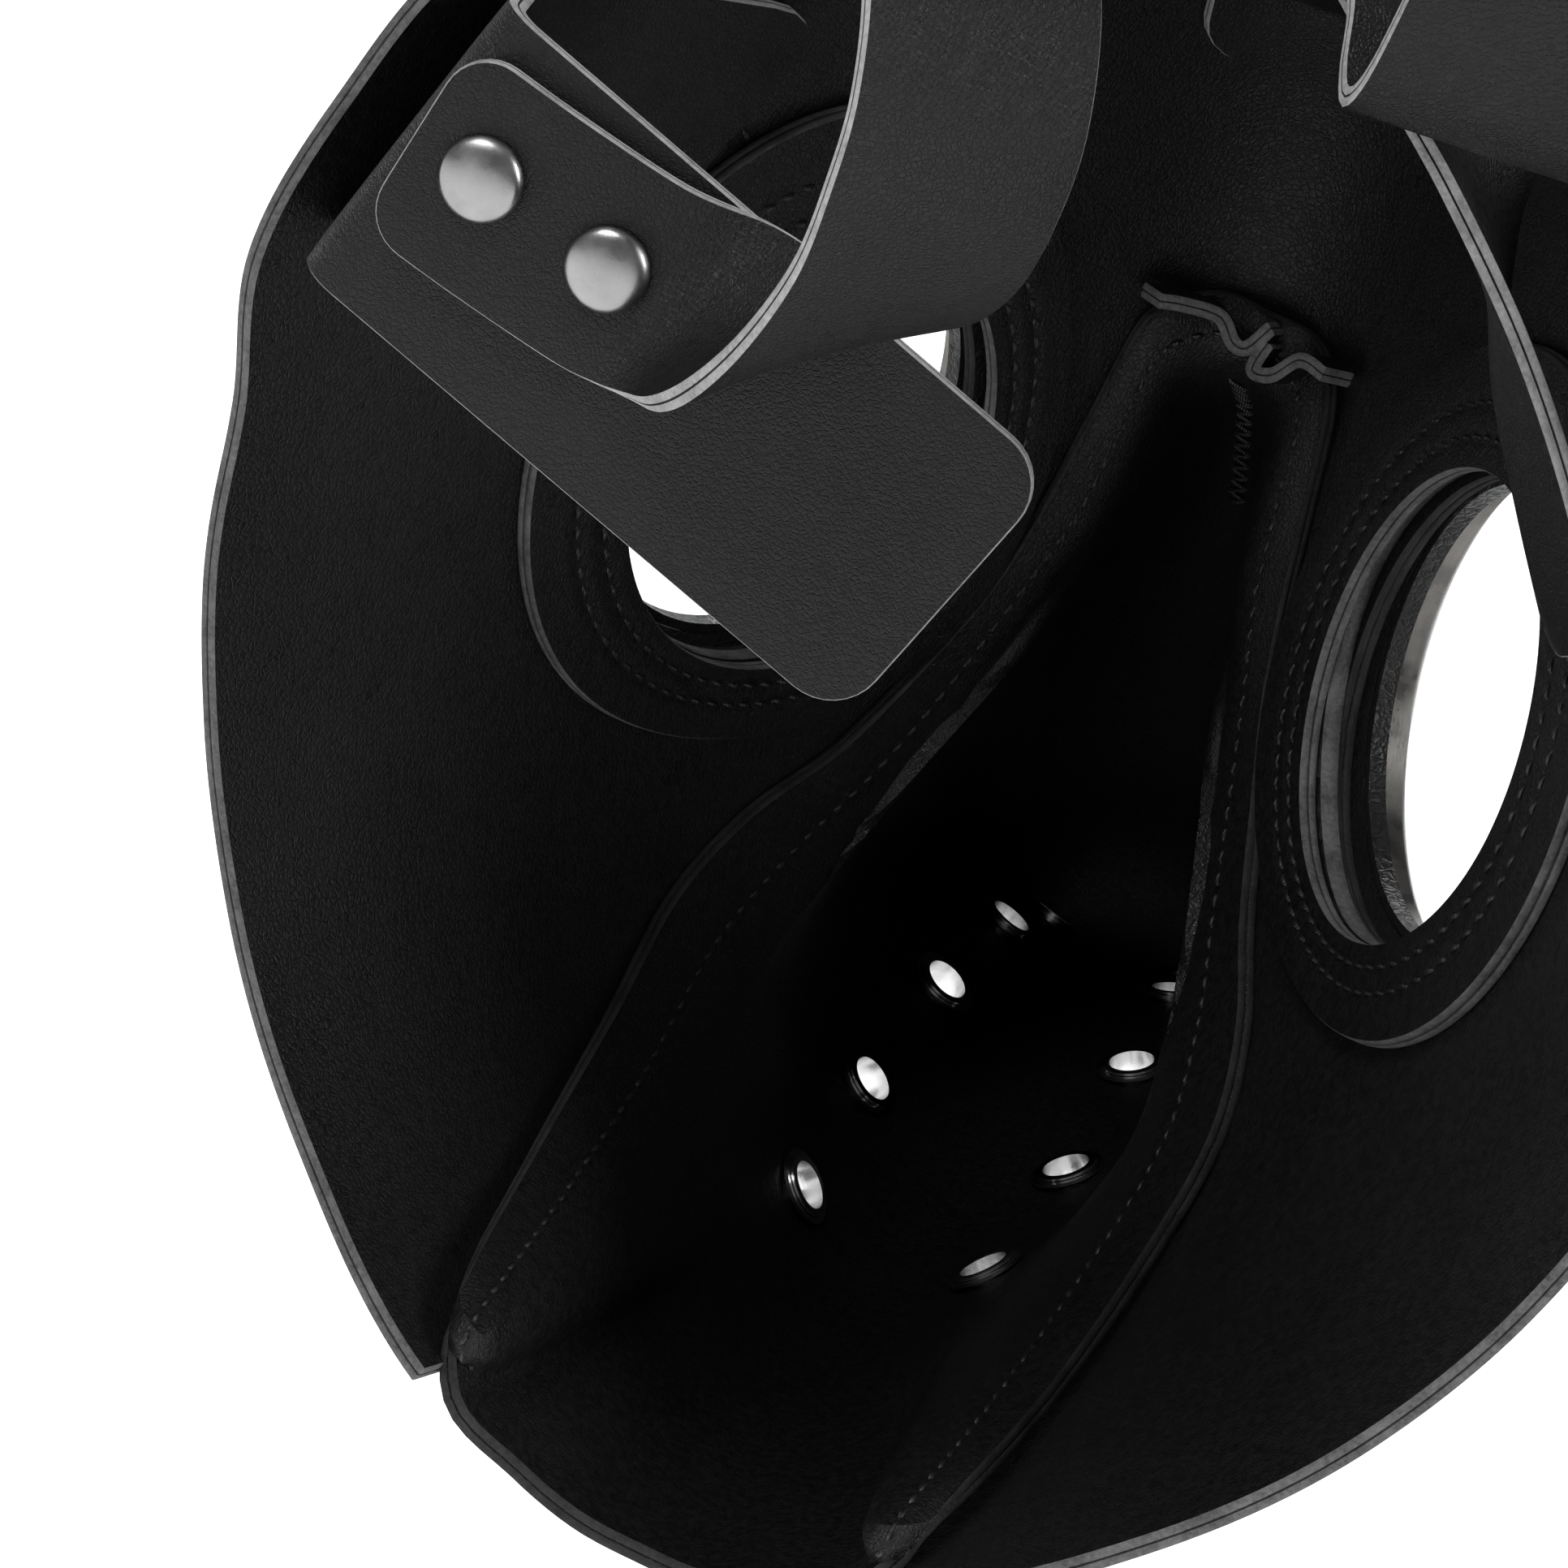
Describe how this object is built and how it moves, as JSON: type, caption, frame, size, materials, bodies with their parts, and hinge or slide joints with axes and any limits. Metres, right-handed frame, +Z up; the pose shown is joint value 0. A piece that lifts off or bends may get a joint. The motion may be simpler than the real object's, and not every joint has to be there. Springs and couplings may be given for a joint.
{
  "type": "plague doctor mask",
  "caption": "Leather plague doctor mask with a long down-curved beak, round glazed goggles, vent eyelets and riveted head straps.",
  "frame": {"origin": "midway between the wearer's eyes, where the middle plane meets the line through the eye hole centres", "axes": "+Y forward along the beak, +X to the wearer's right, +Z up the forehead"},
  "size_m": [0.1924, 0.4345, 0.2878],
  "materials": {
    "mask_leather": "grained",
    "strap_leather": "satin",
    "goggle_black": "satin",
    "bezel_metal": "aged",
    "lens_glass": "clear",
    "nickel": "polished",
    "rivet_metal": "dark nickel"
  },
  "bodies": {
    "mask": {"face_panel": "mask_leather", "beak_shell": "mask_leather", "facing_ring_left": "mask_leather", "facing_ring_right": "mask_leather", "goggle_flange_left": "mask_leather", "goggle_flange_right": "mask_leather", "goggle_tube_left": "goggle_black", "goggle_tube_right": "goggle_black", "goggle_bezel_left": "bezel_metal", "goggle_bezel_right": "bezel_metal", "lens_left": "lens_glass", "lens_right": "lens_glass", "lens_retainer_left": "goggle_black", "lens_retainer_right": "goggle_black", "eyelets_left": "nickel", "eyelets_right": "nickel", "eyelet_washers_left": "nickel", "eyelet_washers_right": "nickel", "anchor_tab_left": "strap_leather", "anchor_tab_right": "strap_leather", "anchor_tab_crown": "strap_leather"},
    "strap_left": {"anchor_strap_left": "strap_leather", "head_strap_left": "strap_leather", "rivets_left": "rivet_metal"},
    "strap_right": {"anchor_strap_right": "strap_leather", "head_strap_right": "strap_leather", "rivets_right": "rivet_metal"},
    "strap_crown": {"anchor_strap_crown": "strap_leather", "crown_strap": "strap_leather", "rivets_crown": "rivet_metal"}
  },
  "joints": [
    {"name": "left_fold", "type": "hinge", "parent": "mask", "child": "strap_left", "pos_m": [-0.0671, -0.0916, 0.0388], "axis": [-0.354, -0.0561, -0.9336], "range_deg": [-10, 90]},
    {"name": "right_fold", "type": "hinge", "parent": "mask", "child": "strap_right", "pos_m": [0.0671, -0.0916, 0.0388], "axis": [-0.354, 0.0561, 0.9336], "range_deg": [-65, 0]},
    {"name": "crown_fold", "type": "hinge", "parent": "mask", "child": "strap_crown", "pos_m": [0.002, -0.006, 0.084], "axis": [0.9397, 0.342, 0], "range_deg": [0, 45]}
  ]
}
